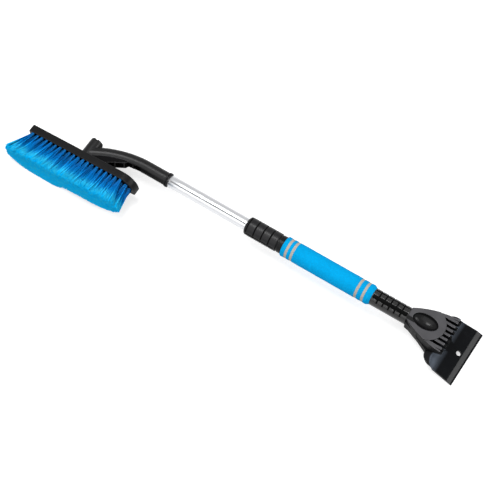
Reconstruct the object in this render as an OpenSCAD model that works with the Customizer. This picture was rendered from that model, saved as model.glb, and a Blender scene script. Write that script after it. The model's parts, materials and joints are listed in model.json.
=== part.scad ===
// Telescoping snow brush with an ice scraper at its grip end, in millimetres.
// The pole runs along X, the bristles point to -Y and the scraper faces up (+Z).
// X is counted from the front end of the foam grip while a piece is drawn.

/* [Inner pole] */
// Outside diameter of the sliding inner tube
inner_d = 20.2; // [19.8:0.1:20.6]
// Wall of the inner tube
inner_wall = 1.4; // [1.3:0.1:1.6]
// Bare inner tube between the lock nut and the neck
bare_len = 146; // [140:1:160]
// Inner tube behind the front end of the foam grip
tail_reach = 30; // [20:1:34]
// Length of the bush on the tube's tail
bush_len = 20; // [15:1:24]
// Width of the rolled groove along the inner tube
groove_w = 2.4; // [2.2:0.1:2.8]
// Depth of the rolled groove
groove_depth = 0.6; // [0.55:0.05:0.7]
// Angle of the groove, from straight up towards the bristles
groove_angle = 25; // [15:1:35]

/* [Outer pole] */
// Outside diameter of the outer tube
outer_d = 24; // [23.6:0.1:24.2]
// Wall of the outer tube
outer_wall = 1.2; // [1.1:0.05:1.25]
// Outer tube in front of the foam grip
outer_front = 40; // [36:1:42]
// Running clearance on the radius of turning and sliding fits
run_gap = 0.06; // [0.04:0.01:0.09]

/* [Twist lock] */
// Largest diameter of the lock nut
nut_d = 30.4; // [30:0.1:31.5]
// Length of the lock nut
nut_len = 58.5; // [56:0.5:62]
// Rounding of the nut's front end
nut_round = 4.5; // [3:0.5:5]
// Rings cut around the nut
nut_rings = 4; // [3:1:5]
// Width of each ring
nut_ring_w = 1.8; // [1.2:0.1:2.4]
// Depth of the rings and the long channels
nut_ring_depth = 0.8; // [0.5:0.1:0.9]
// Crown of each band between two rings
nut_crown = 0.15; // [0.1:0.05:0.25]
// Angle of the nut's long channel, from straight up
nut_channel = 82; // [76:1:90]
// Half angle of the plain strip along a channel
nut_plain = 8; // [7:1:12]
// Width of the nut's channels
nut_channel_w = 2.4; // [2:0.1:2.8]
// Diameter of the base ring behind the nut
base_ring_d = 29; // [28.4:0.1:30]
// Length of the base ring
base_ring_len = 8.2; // [7:0.1:9]
// Waist between nut and base ring
base_waist = 2.1; // [1.6:0.1:2.6]
// Diameter of the base's threaded sleeve
sleeve_d = 26.8; // [26.6:0.1:27]

/* [Foam grip] */
// Diameter of the foam
grip_d = 33; // [31:0.5:35]
// Length of the foam
grip_len = 160; // [156:1:166]
// Width of each band
band_w = 4.4; // [3:0.2:5]
// Depth of the groove that a band sits in
band_groove = 1; // [0.8:0.1:1.4]
// Thickness of a band
band_t = 0.6; // [0.4:0.1:0.7]

/* [Rear handle] */
// Length of the ribbed rear handle
handle_len = 63; // [60:1:66]
// Diameter over the pads
handle_d = 28; // [27.6:0.1:28.6]
// Pads in each row
handle_pads = 6; // [5:1:7]
// Gap between two pads
pad_gap = 2.2; // [1.6:0.1:2.8]
// Height of the pads above the channels
pad_height = 0.9; // [0.6:0.1:1]
// Angle at which the rows of pads start, from straight up
pads_from = -92; // [-96:1:-86]
// Angle at which they end
pads_to = 60; // [54:1:66]
// Angle of the thin channel between two rows of pads
thin_channel = -28; // [-32:1:-24]
// Angle of the wide channel between two rows of pads
wide_channel = 22; // [18:1:26]
// Width of the long channels beside the pads
channel_w = 6.4; // [5:0.2:7]

/* [Scraper] */
// Length of the head in front of the handle, up to the tooth ends
head_len = 74; // [72:1:77]
// Height of the head's top above the pole axis
head_top = 13.5; // [13:0.1:13.8]
// Half width of the head at the tooth ends
head_half_w = 31.4; // [30.5:0.1:32.5]
// Radius of the head's long sides
head_side_r = 152; // [148:1:160]
// Radius of the head's rounded front
head_front_r = 27.5; // [26.5:0.5:28.5]
// Number of ice teeth
teeth = 7; // [5:2:7]
// Distance between teeth
tooth_pitch = 8.4; // [8:0.1:8.6]
// Width of a tooth
tooth_w = 4.4; // [4:0.1:5]
// Width of the rails beside the teeth
rail_w = 3; // [2.4:0.1:3.6]
// Length of the undercut below teeth and rails
undercut = 24; // [20:1:26]
// Length of the thumb recess
thumb_len = 42; // [38:1:43]
// Width of the thumb recess
thumb_w = 25.6; // [22:0.2:26]
// Depth of the thumb recess
thumb_depth = 9.5; // [7:0.5:10]
// Downward tilt of the blade
blade_tilt = 15.5; // [14:0.5:17]
// Width of the blade along its edge
blade_w = 99; // [96:1:103]
// Blade width at its root
blade_root_w = 93; // [91:0.5:95]
// Bare length of the blade
blade_len = 37; // [34:1:40]
// Thickness of the blade
blade_t = 4.5; // [4:0.1:5]
// Length of the bevel behind the edge
bevel_len = 12; // [10:0.5:12.5]
// Length of the steeper part of the bevel
steep_len = 3; // [2:0.5:4]
// Drop of that steeper part
steep_drop = 1.2; // [0.9:0.1:1.5]
// Thickness left at the edge
edge_t = 0.9; // [0.7:0.1:1.2]
// Diameter of the hang hole
hang_d = 8; // [6:0.5:9]
// Distance from the hang hole to the edge
hang_back = 17; // [15:0.5:19]
// Thickness of the shoulder above the blade
shoulder_t = 5; // [4.5:0.1:5.5]
// Length of the shoulder
shoulder_len = 26; // [24.5:0.5:28]
// Radius of the shoulder's rounded corners
shoulder_corner = 18; // [14:0.5:19]
// Radius of the two scoops in the shoulder
scoop_r = 22; // [19:0.5:23]
// Distance of a scoop's middle from the middle line
scoop_y = 30; // [29:0.5:32]
// Distance of a scoop's middle in front of the shoulder's edge
scoop_ahead = 9; // [8:0.5:11]
// Slope of a scoop's floor towards the blade
scoop_slope = 4; // [2:0.5:5]

/* [Neck] */
// Diameter of the neck
neck_d = 21.6; // [21.4:0.1:22]
// Diameter of the collar around the tube's end
collar_d = 24; // [23.6:0.1:25]
// Length of the collar
collar_len = 5; // [4:0.5:7]
// Straight part of the neck
neck_straight = 41; // [38:1:44]
// Distance from the neck's end to the brush's pivot
hub_reach = 137; // [134:1:141]
// Radius of the neck's bend
bend_r = 170; // [165:1:176]
// Cored pockets under the bend
pockets = 5; // [4:1:6]
// Width of the pockets
pocket_w = 12.6; // [11:0.2:13]

/* [Pivot] */
// Diameter of the pivot barrel
barrel_d = 22; // [21.8:0.1:23]
// Top of the barrel, below the pole axis
barrel_drop = 4.6; // [4:0.2:5.2]
// Diameter of the block's pivot post
post_d = 14; // [13.5:0.1:14.4]
// Gap between the barrel and the brush block
swivel_gap = 0.6; // [0.4:0.05:1]
// Diameter of the chamber for screw, washer and spring
chamber_d = 18; // [17.6:0.1:18.4]
// Depth of that chamber
chamber_depth = 11; // [10:0.5:12]
// Thickness of the end cap
cap_t = 2.4; // [2:0.1:2.8]
// Width of the notch that frees the cap
notch_w = 3.8; // [3:0.1:4.4]
// Depth of that notch
notch_depth = 1.8; // [1.2:0.1:1.9]

/* [Brush] */
// Turn of the brush on its pivot, as it lies at rest
head_turn = 4; // [0:1:8]
// Back of the brush block, below the pole axis
block_drop = 35.5; // [35:0.1:37]
// Length of the block
block_len = 203; // [200:1:206]
// Width of the block
block_w = 32; // [31.5:0.1:34]
// Thickness of the block
block_t = 13; // [12:0.5:14]
// Radius of the two round corners
block_round = 26; // [23:1:27]
// Radius of the two small corners
block_corner = 3; // [1:0.5:4]
// Distance between tufts
tuft_pitch = 8.95; // [8.8:0.05:9]
// Tufts in a long row
tufts = 21; // [19:1:21]
// Distance between rows
row_pitch = 7.6; // [7.3:0.1:7.8]
// Length of the bristles
bristle_len = 42.5; // [38:0.5:46]
// Spread of the tips along the block, as a factor
spread_long = 1.16; // [1.1:0.02:1.18]
// Lean of the tips towards the block's far end
tip_lean = 8; // [4:0.5:9]
// Spread of the tips across the block, as a factor
spread_wide = 1.65; // [1.5:0.05:1.8]
// Sag of the tips towards the block's lower side
tip_sag = 3.5; // [0:0.5:4]

/* [Hidden] */
$fn = 96;

// Radii
inner_r = inner_d/2;
inner_bore = inner_r - inner_wall;
outer_r = outer_d/2;
outer_bore = outer_r - outer_wall;
nut_r = nut_d/2;
sleeve_r = sleeve_d/2;
grip_r = grip_d/2;
handle_r = handle_d/2;
neck_r = neck_d/2;
barrel_r = barrel_d/2;
post_r = post_d/2;
chamber_r = chamber_d/2;

// Gaps between bodies that move past each other without a running fit
free_gap = 0.35;

// Places along the pole
nut_back = -base_ring_len - base_waist;
nut_front = nut_back - nut_len;
neck_end = nut_front - bare_len;
bend_start = neck_end - neck_straight;
hub_x = neck_end - hub_reach;
bend_angle = asin((neck_straight - hub_reach)/-bend_r);
handle_end = grip_len + handle_len;
stem_len = 33;
stem_front = handle_end - stem_len;
outer_back = handle_end - stem_len/3;

// Collet between nut and inner tube
collet_front = nut_front + 3;
collet_back = -outer_front;
cone_back = collet_back - 6;
collet_nose_r = inner_r + 0.9;
collet_r = sleeve_r - 0.6;

// Neck socket, spigot and rivet
socket_depth = collar_len + 1;
spigot_len = 26;
rivet_x = neck_end + 3.5;
rivet_r = 1.6;
rivet_head_r = 2.2;

// Pivot heights along Y
block_back = -block_drop;
block_front = block_back - block_t;
barrel_base = block_back + swivel_gap;
barrel_top = -barrel_drop;
chamber_floor = barrel_top - chamber_depth;
post_top = chamber_floor - 0.4;
spring_t = 0.8;
spring_rise = 1.2;
washer_t = 1.5;
spring_floor = chamber_floor + 0.08;
washer_floor = spring_floor + spring_rise;
screw_head_floor = washer_floor + washer_t;
screw_head_t = 3;
screw_r = 2.4;
screw_head_r = 5.2;

// Bristles
slab_t = 2;
slab_half = 2.9;
slab_end = 1.6;
strand_step = 2.6;
root_half = 0.95;
tip_half = 0.6;
tip_dome = 0.1;
row_start = -block_len/2 + 9.5;

// Scraper stations; blade coordinates run from the shoulder's front edge
tooth_end = handle_end + head_len;
head_front_x = handle_end + 33;
side_centre_x = tooth_end + 3;
root_x = handle_end + 71;
thumb_x = handle_end + 28;
root_z = -22;
lap = 24;
lap_half_w = 26;
scoop_floor = 0.8;
core_places = [10, 29];
core_len = 16.5;
core_w = 11;
core_rib = 2.4;
core_top = -3;
flank_top = 4;
flank_flat = 6;
blade_screw_u = -13;
blade_screw_y = 11;
blade_screw_r = 1.6;
blade_screw_head_r = 3.2;
blade_screw_head_t = 2.4;
blade_screw_len = 9;
handle_screw_x = stem_front + 11;
handle_screw_r = 1.7;
handle_screw_head_r = 3.2;
recess_len = 3.4;
recess_w = 0.7;

// Bounds, for the placing of the origin
x_min = hub_x + (tip_x(1, 0) - tip_half)*cos(head_turn) - (tip_z(1, 1) + tip_half)*sin(head_turn);
x_max = root_x + blade_len*cos(blade_tilt) + (edge_t - blade_t)*sin(blade_tilt);
y_min = tip_y(2, 0);
y_max = blade_w/2;
z_min = root_z - blade_len*sin(blade_tilt) - blade_t*cos(blade_tilt);

// Helpers
module along_x(x, len, r, r_end = -1) {
    translate([x, 0, 0]) rotate([0, 90, 0])
        cylinder(h = len, r1 = r, r2 = r_end < 0 ? r : r_end);
}

module along_y(y, len, r) {
    translate([0, y, 0]) rotate([-90, 0, 0]) cylinder(h = len, r = r);
}

module pipe(x, len, r, bore) {
    difference() {
        along_x(x, len, r);
        along_x(x - 1, len + 2, bore);
    }
}

// A turned piece from [radius, x] points
module turned(points) {
    rotate([0, 90, 0]) rotate_extrude() polygon(points);
}

// A part turn, from angle 'from' over 'sweep', both counted from +Z towards -Y
module part_turned(points, from, sweep) {
    rotate([0, 90, 0]) rotate([0, 0, 180 + from])
        rotate_extrude(angle = sweep) polygon(points);
}

// A square-cornered ring groove of the given depth
function ring_groove(x, w, r, depth) = [[r - depth, x], [r + 2, x], [r + 2, x + w], [r - depth, x + w]];

// A straight channel cut into a round piece
module channel(angle, x, len, w, r, depth) {
    rotate([angle, 0, 0]) translate([x, -w/2, r - depth]) cube([len, w, depth + 2]);
}

// Brush
module corner_cut(r) {
    difference() {
        translate([-r, -r]) square(2*r);
        translate([-r, -r]) circle(r);
    }
}

// Outline of the block in X and Z: two opposite corners are round
module block_outline() {
    difference() {
        square([block_len, block_w], center = true);
        for (turn = [0, 180]) rotate(turn) {
            translate([block_len/2, block_w/2]) corner_cut(block_round);
            translate([block_len/2, -block_w/2]) rotate(-90) corner_cut(block_corner);
        }
    }
}

// Rows 1 and 2 start at the block's far end, rows 3 and 4 finish at its near end
function row_z(row) = (2.5 - row)*row_pitch;
function row_tufts(row) = row == 1 || row == 4 ? tufts - 1 : tufts;
function row_first(row) = row <= 2 ? row_start : -row_start - (row_tufts(row) - 1)*tuft_pitch;
function strand_x(row, i) = row_first(row) + floor(i/2)*tuft_pitch + (i%2 - 0.5)*strand_step;
function cell_x(row, i, n) = i == 0 ? strand_x(row, 0) - slab_end
    : i == n ? strand_x(row, n - 1) + slab_end
    : (strand_x(row, i - 1) + strand_x(row, i))/2;
function tip_x(row, i) = (row_first(row) + (i - 0.5)*tuft_pitch/2)*spread_long - tip_lean;
function across(row, j) = row_z(row) + (j - 0.5)*row_pitch/2;
function tip_z(row, j) = across(row, j)*spread_wide - tip_sag;
function tip_y(row, j) = block_front - bristle_len*(1 - tip_dome*pow(across(row, j)/across(1, 1), 2));
function quad(x, y, z, h) = [[x - h, y, z - h], [x + h, y, z - h], [x + h, y, z + h], [x - h, y, z + h]];

module row_slab(row) {
    n = 2*row_tufts(row);
    translate([cell_x(row, 0, n), block_front, row_z(row) - slab_half])
        cube([cell_x(row, n, n) - cell_x(row, 0, n), slab_t, 2*slab_half]);
}

// One row of tapered four-sided strands on their strip of backing
module strands(row) {
    n = 2*row_tufts(row);
    grid = [for (i = [0:n], j = [0:2]) [cell_x(row, i, n), block_front, row_z(row) + (j - 1)*slab_half]];
    back = [for (p = [grid[0], grid[3*n], grid[3*n + 2], grid[2]]) p + [0, slab_t, 0]];
    roots = [for (i = [0:n - 1], j = [0:1], p = quad(strand_x(row, i), block_front,
        row_z(row) + (j - 0.5)*strand_step, root_half)) p];
    tips = [for (i = [0:n - 1], j = [0:1], p = quad(tip_x(row, i), tip_y(row, j),
        tip_z(row, j), tip_half)) p];
    b0 = len(grid);
    r0 = b0 + 4;
    t0 = r0 + len(roots);
    cells = [for (i = [0:n - 1], j = [0:1]) [3*i + j, 3*i + 3 + j, 3*i + 4 + j, 3*i + 1 + j]];
    rims = [for (s = [0:2*n - 1], k = [0:3])
        [r0 + 4*s + k, r0 + 4*s + (k + 1)%4, cells[s][(k + 1)%4], cells[s][k]]];
    walls = [for (s = [0:2*n - 1], k = [0:3])
        [t0 + 4*s + k, t0 + 4*s + (k + 1)%4, r0 + 4*s + (k + 1)%4, r0 + 4*s + k]];
    ends = [for (s = [0:2*n - 1]) [for (k = [3:-1:0]) t0 + 4*s + k]];
    sides = [
        concat([b0], [for (i = [0:n]) 3*i], [b0 + 1]),
        concat([b0 + 2], [for (i = [n:-1:0]) 3*i + 2], [b0 + 3]),
        [b0, b0 + 3, 2, 1, 0],
        [b0 + 1, 3*n, 3*n + 1, 3*n + 2, b0 + 2],
        [b0 + 1, b0 + 2, b0 + 3, b0]
    ];
    polyhedron(concat(grid, back, roots, tips), concat(rims, walls, ends, sides));
}

module at_hub() {
    translate([hub_x, 0, 0]) children();
}

// The brush and what turns with it
module at_head() {
    at_hub() rotate([0, -head_turn, 0]) children();
}

module bristle_row(row) {
    color("deepskyblue") at_head() strands(row);
}

module bristle_row_1() { bristle_row(1); }
module bristle_row_2() { bristle_row(2); }
module bristle_row_3() { bristle_row(3); }
module bristle_row_4() { bristle_row(4); }

module brush_block() {
    color("dimgray") at_head() difference() {
        union() {
            translate([0, block_back, 0]) rotate([90, 0, 0])
                linear_extrude(block_t) block_outline();
            along_y(block_back - 1, post_top - block_back + 1, post_r);
        }
        for (row = [1:4]) row_slab(row);
        along_y(post_top - 16, 17, screw_r);
    }
}

// Pivot hardware
module pivot_screw() {
    color("silver") at_head() difference() {
        union() {
            along_y(post_top - 15, screw_head_floor - post_top + 15.5, screw_r);
            along_y(screw_head_floor, screw_head_t, screw_head_r);
        }
        for (turn = [0, 90]) rotate([0, turn, 0])
            translate([-3, screw_head_floor + 1.4, -0.5]) cube([6, 3, 1]);
    }
}

module pivot_washer() {
    color("lightgray") at_head() difference() {
        along_y(washer_floor, washer_t, screw_head_r + 1.4);
        along_y(washer_floor - 1, washer_t + 2, screw_r);
    }
}

// Coned disc spring, wide end on the chamber floor
module pivot_spring() {
    inner = screw_r + 1;
    outer = chamber_r - 0.5;
    color("slategray") at_head() translate([0, spring_floor, 0]) rotate([-90, 0, 0])
        rotate_extrude() polygon([[inner, spring_rise - spring_t], [outer, 0],
            [outer, spring_t], [inner + 1.4, spring_rise], [inner, spring_rise]]);
}

// A finger notch through the rims of barrel and cap
module cap_notch() {
    at_hub() translate([-notch_w/2, barrel_top - notch_depth, chamber_r - 1.2])
        cube([notch_w, notch_depth + 2, barrel_r - chamber_r + 3]);
}

module pivot_cap() {
    color("black") difference() {
        at_hub() difference() {
            union() {
                along_y(barrel_top - cap_t, cap_t, chamber_r);
                along_y(barrel_top, 0.8, barrel_r - 0.6);
            }
            along_y(barrel_top - cap_t - 1, cap_t - 0.4, chamber_r - 1.8);
        }
        cap_notch();
    }
}

// Neck
module bend(section_in, section_out, half_w, from, sweep) {
    translate([bend_start, -bend_r, 0]) rotate([0, 0, 90 + from]) rotate_extrude(angle = sweep)
        translate([section_in, -half_w]) square([section_out - section_in, 2*half_w]);
}

module neck_web() {
    foot = [hub_x + 30, barrel_base];
    translate([0, 0, -neck_r + 2.3]) linear_extrude(2*neck_r - 4.6)
        polygon([[hub_x + 6, -20], [hub_x + 6, barrel_base], foot, foot + [15, 10],
            [hub_x + 62, -15.5], [hub_x + 66, -8], [hub_x + 34, -14]]);
}

module neck_core() {
    along_x(bend_start, neck_straight, neck_r);
    along_x(neck_end - collar_len, collar_len, collar_d/2);
    translate([bend_start, -bend_r, 0]) rotate([0, 0, 90]) rotate_extrude(angle = bend_angle)
        translate([bend_r, 0]) circle(neck_r);
    neck_web();
    at_hub() along_y(barrel_base, barrel_top - barrel_base, barrel_r);
}

module neck_pockets() {
    first = 3;
    last = asin((bend_start - hub_x - barrel_r - 1)/bend_r);
    pitch = (last - first)/pockets;
    for (k = [0:pockets - 1])
        bend(bend_r - 40, bend_r + 6, pocket_w/2, first + k*pitch, pitch - 0.9);
}

module neck() {
    ring_r = collar_d/2;
    color("dimgray") difference() {
        union() {
            difference() {
                neck_core();
                translate([hub_x - 60, barrel_base - 60, -40]) cube([200, 60, 80]);
                neck_pockets();
                along_x(neck_end - socket_depth, socket_depth + 1, inner_r);
            }
            along_x(neck_end - socket_depth - 1, spigot_len + 1, inner_bore);
        }
        turned(ring_groove(neck_end - collar_len*0.6, 0.9, ring_r, 0.6));
        at_hub() along_y(barrel_base - 1, chamber_floor - barrel_base + 2, post_r + run_gap);
        at_hub() along_y(chamber_floor, chamber_depth + 1, chamber_r);
        cap_notch();
        rivet_shank();
    }
}

module rivet_shank() {
    rotate([groove_angle, 0, 0]) translate([rivet_x, 0, inner_bore - 5]) cylinder(h = 12, r = rivet_r);
}

module neck_rivet() {
    floor_r = inner_r - groove_depth;
    color("gray") rotate([groove_angle, 0, 0]) translate([rivet_x, 0, 0]) {
        translate([0, 0, inner_bore - 5]) cylinder(h = floor_r + 5 - inner_bore, r = rivet_r);
        translate([0, 0, floor_r]) cylinder(h = 0.6, r = rivet_r);
        translate([0, 0, inner_r]) cylinder(h = 0.8, r1 = rivet_head_r, r2 = 1.2);
    }
}

// Inner pole
module inner_tube() {
    color("gainsboro") difference() {
        pipe(neck_end - socket_depth, tail_reach - neck_end + socket_depth, inner_r, inner_bore);
        channel(groove_angle, neck_end + 1, tail_reach - neck_end, groove_w, inner_r, groove_depth);
        rivet_shank();
    }
}

module tail_bush() {
    color("darkslategray") difference() {
        union() {
            along_x(tail_reach - 14, 15, inner_bore);
            along_x(tail_reach, bush_len, outer_bore - run_gap);
        }
        along_x(tail_reach - 15, bush_len + 16, inner_bore - 2.5);
        for (angle = [0, 90, 180, 270])
            channel(angle, tail_reach + 4, bush_len - 8, 4, outer_bore, 0.8);
    }
}

// Twist lock
module lock_nut() {
    inside = sleeve_r + run_gap;
    nose = inner_r + free_gap;
    round_x = nut_front + nut_round;
    round_r = nut_r - nut_round;
    pitch = nut_len/(nut_rings + 0.3);
    ring_x = nut_front + 0.37*pitch;
    channel_len = nut_len - nut_round - 6;
    color("dimgray") difference() {
        turned(concat([[nose, nut_front], [round_r, nut_front]],
            [for (a = [15:15:90]) [round_r + nut_round*sin(a), round_x - nut_round*cos(a)]],
            [for (k = [0:0.5:nut_rings - 1]) [k == floor(k) ? nut_r - nut_crown : nut_r, ring_x + k*pitch]],
            [[nut_r, nut_back - 1], [nut_r - 1, nut_back], [inside, nut_back],
            [inside, cone_back], [collet_nose_r + free_gap, collet_front - free_gap],
            [nose, collet_front - free_gap]]));
        for (k = [0:nut_rings - 1], side = [0, 180])
            part_turned(ring_groove(ring_x + k*pitch - nut_ring_w/2, nut_ring_w, nut_r, nut_ring_depth),
                nut_channel + nut_plain + side, 180 - 2*nut_plain);
        for (side = [0, 180])
            channel(nut_channel + side, round_x + 2, channel_len, nut_channel_w, nut_r, nut_ring_depth);
    }
}

// Split tapered collar with a key that rides in the tube's groove
module lock_collet() {
    bore = inner_r + run_gap;
    key_w = groove_w - 2*free_gap;
    key_tip = inner_r - groove_depth + free_gap;
    color("lightgray") {
        difference() {
            turned([[bore, collet_front], [collet_nose_r, collet_front], [collet_r, cone_back],
                [collet_r, collet_back], [bore, collet_back]]);
            for (angle = [70, 160, 250, 340])
                channel(angle, collet_front - 1, 17, 1.2, inner_r + 1, 3);
        }
        rotate([groove_angle, 0, 0])
            translate([collet_back - 8, -key_w/2, key_tip]) cube([8, key_w, bore + 0.4 - key_tip]);
    }
}

module lock_base() {
    ring_r = base_ring_d/2;
    color("dimgray") turned([[outer_r, collet_back], [sleeve_r, collet_back],
        [sleeve_r, -base_ring_len], [ring_r - 0.6, -base_ring_len], [ring_r, -base_ring_len + 0.6],
        [ring_r, 0], [outer_r, 0]]);
}

// Cross recess of a small screw, from height z upwards
module cross_recess(z, depth) {
    for (turn = [0, 90]) rotate(turn)
        translate([-recess_len/2, -recess_w/2, z]) cube([recess_len, recess_w, depth]);
}

// Grip end
module handle_screw_hole() {
    translate([handle_screw_x, 0, -handle_r - 1]) cylinder(h = 12, r = handle_screw_r);
}

module outer_tube() {
    color("silver") difference() {
        pipe(-outer_front, outer_back + outer_front, outer_r, outer_bore);
        handle_screw_hole();
    }
}

// Band centres along the foam, as parts of its length
band_places = [0.059, 0.12, 0.847, 0.922];

module foam_grip() {
    color("deepskyblue") difference() {
        turned([[outer_r, 0], [grip_r - 1.2, 0], [grip_r, 1.2], [grip_r, grip_len - 5],
            [grip_r - 2.6, grip_len], [outer_r, grip_len]]);
        for (place = band_places)
            turned(ring_groove(place*grip_len - band_w/2, band_w, grip_r, band_groove));
    }
}

module grip_band(place) {
    color("tan") pipe(place*grip_len - band_w/2, band_w, grip_r - band_groove + band_t,
        grip_r - band_groove);
}

module grip_band_1() { grip_band(band_places[0]); }
module grip_band_2() { grip_band(band_places[1]); }
module grip_band_3() { grip_band(band_places[2]); }
module grip_band_4() { grip_band(band_places[3]); }

module rear_handle() {
    pitch = (handle_len - 2)/handle_pads;
    color("dimgray") difference() {
        turned([[outer_r, grip_len], [handle_r - 0.6, grip_len], [handle_r, grip_len + 0.6],
            [handle_r, handle_end - 0.4], [handle_r - 0.4, handle_end], [outer_bore, handle_end],
            [outer_bore, outer_back], [outer_r, outer_back]]);
        for (k = [1:handle_pads - 1])
            part_turned(ring_groove(grip_len + 1 + k*pitch - pad_gap/2, pad_gap, handle_r, pad_height),
                pads_from, pads_to - pads_from);
        for (place = [[pads_from, channel_w], [thin_channel, channel_w/2], [wide_channel, channel_w]])
            channel(place[0], grip_len + 2, handle_len - 3, place[1], handle_r, pad_height);
        handle_screw_hole();
        translate([handle_screw_x, 0, -handle_r - 1]) cylinder(h = 2.2, r = handle_screw_head_r);
    }
}

module handle_screw() {
    head = -handle_r + 1.2;
    color("silver") difference() {
        translate([handle_screw_x, 0, 0]) {
            translate([0, 0, head - 0.9]) cylinder(h = 0.9, r = handle_screw_head_r);
            translate([0, 0, head - 0.5]) cylinder(h = 9, r = handle_screw_r);
        }
        translate([handle_screw_x, 0, 0]) cross_recess(head - 1, 0.7);
    }
}

// Scraper
module blade_frame() {
    translate([root_x, 0, root_z]) rotate([0, blade_tilt, 0]) children();
}

// The head's long sides are two large arcs
module head_plan(inset = 0) {
    centre_y = head_side_r*sqrt(1 - pow((side_centre_x - tooth_end)/head_side_r, 2)) - head_half_w;
    intersection() {
        translate([side_centre_x, -centre_y]) circle(head_side_r - inset);
        translate([side_centre_x, centre_y]) circle(head_side_r - inset);
        translate([handle_end, -blade_w]) square([tooth_end - handle_end, 2*blade_w]);
    }
}

// Side view of the head, X and Z; the lower edge follows the blade's top plane
module head_side(top, top_front) {
    lap_x = root_x - lap*cos(blade_tilt);
    lap_z = root_z + lap*sin(blade_tilt);
    rotate([90, 0, 0]) linear_extrude(2*blade_w, center = true)
        polygon([[handle_end, top], [handle_end + flank_flat, top], [root_x, top_front], [root_x, root_z],
            [lap_x, lap_z], [lap_x - blade_t*sin(blade_tilt), lap_z - blade_t*cos(blade_tilt)],
            [lap_x - 18, -handle_r - 0.2], [handle_end, 0.6 - handle_r]]);
}

module upright() {
    translate([0, 0, -2*handle_d]) linear_extrude(4*handle_d) children();
}

module head_core() {
    intersection() {
        upright() intersection() {
            head_plan();
            union() {
                translate([handle_end - 1, -blade_w]) square([head_front_x - handle_end + 1, 2*blade_w]);
                translate([head_front_x, 0]) circle(head_front_r);
            }
        }
        head_side(head_top, head_top);
    }
}

// Flanks that widen from the handle to the shoulder, under the top
module head_flanks() {
    wide_x = root_x - (shoulder_len - 2)*cos(blade_tilt);
    wide_y = blade_half(-shoulder_len) - shoulder_corner + 5;
    half = [[handle_end, handle_r - 0.2], [handle_end + 8, handle_r + 1.4], [handle_end + 14, handle_r + 3.8],
        [wide_x, wide_y], [wide_x + 5, wide_y - 4]];
    intersection() {
        upright() polygon(concat(half, [for (k = [4:-1:0]) [half[k][0], -half[k][1]]]));
        head_side(flank_top, root_z + shoulder_t + 2);
    }
}

// A rib with a raked front end, of the given width
module tooth(w) {
    top = head_top - 1.2;
    rotate([90, 0, 0]) linear_extrude(w, center = true)
        polygon([[head_front_x - 4, top], [tooth_end - 4, top], [tooth_end, top - 3],
            [tooth_end, top - 6], [root_x - undercut, root_z + 8.5], [head_front_x - 4, root_z + 8.5]]);
}

module ice_teeth() {
    intersection() {
        for (k = [-(teeth - 1)/2:(teeth - 1)/2])
            translate([0, k*tooth_pitch, 0]) tooth(tooth_w);
        upright() head_plan();
    }
    intersection() {
        tooth(2*blade_w);
        upright() difference() {
            head_plan();
            head_plan(rail_w);
        }
    }
}

// Half width of the blade at a place along it
function blade_half(u) = (blade_root_w + (blade_w - blade_root_w)*u/blade_len)/2;

module shoulder_plan() {
    back = -shoulder_len;
    turn_u = back + shoulder_corner;
    lean = atan((blade_w - blade_root_w)/2/blade_len);
    turn_y = blade_half(turn_u) - shoulder_corner/cos(lean);
    intersection() {
        polygon([[back, -blade_half(back)], [0, -blade_half(0)],
            [0, blade_half(0)], [back, blade_half(back)]]);
        union() {
            translate([turn_u, -blade_w]) square([shoulder_len, 2*blade_w]);
            translate([back, -turn_y]) square([shoulder_len, 2*turn_y]);
            for (side = [-1, 1]) translate([turn_u, side*turn_y]) circle(shoulder_corner);
        }
    }
}

module shoulder() {
    difference() {
        linear_extrude(shoulder_t) shoulder_plan();
        for (side = [-1, 1]) translate([0, side*scoop_y, scoop_floor]) rotate([0, scoop_slope, 0])
            translate([scoop_ahead, 0, 0]) cylinder(h = 2*shoulder_t, r1 = scoop_r - 1, r2 = scoop_r + 1);
    }
}

// Thumb recess: an ellipse turned about its long axis
module thumb_recess() {
    reach = thumb_len/2 + 1;
    translate([thumb_x, 0, head_top + thumb_w/2 - thumb_depth]) rotate([0, 90, 0])
        rotate_extrude() polygon(concat([[0, -reach]],
            [for (a = [-80:10:80]) [thumb_w/2*cos(a), reach*sin(a)]], [[0, reach]]));
}

module head_coring() {
    for (x = core_places, side = [-1, 1])
        translate([handle_end + x, side*(core_rib + core_w)/2 - core_w/2, core_top - 2*handle_d])
            cube([core_len, core_w, 2*handle_d]);
}

module blade_screw_places() {
    for (side = [-1, 1]) translate([blade_screw_u, side*blade_screw_y, -blade_t]) children();
}

module scraper_head() {
    color("dimgray") difference() {
        union() {
            difference() {
                union() {
                    head_core();
                    head_flanks();
                    ice_teeth();
                    blade_frame() shoulder();
                }
                thumb_recess();
                head_coring();
            }
            along_x(stem_front, handle_end - stem_front + 1, outer_bore);
        }
        blade_frame() blade_screw_places() cylinder(h = blade_screw_len + 1, r = blade_screw_r);
        handle_screw_hole();
    }
}

module blade_plan() {
    polygon([[-lap, -lap_half_w], [-8, -lap_half_w], [-5, 3 - blade_half(0)], [0, -blade_half(0)],
        [blade_len, -blade_w/2], [blade_len, blade_w/2], [0, blade_half(0)],
        [-5, blade_half(0) - 3], [-8, lap_half_w], [-lap, lap_half_w]]);
}

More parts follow.
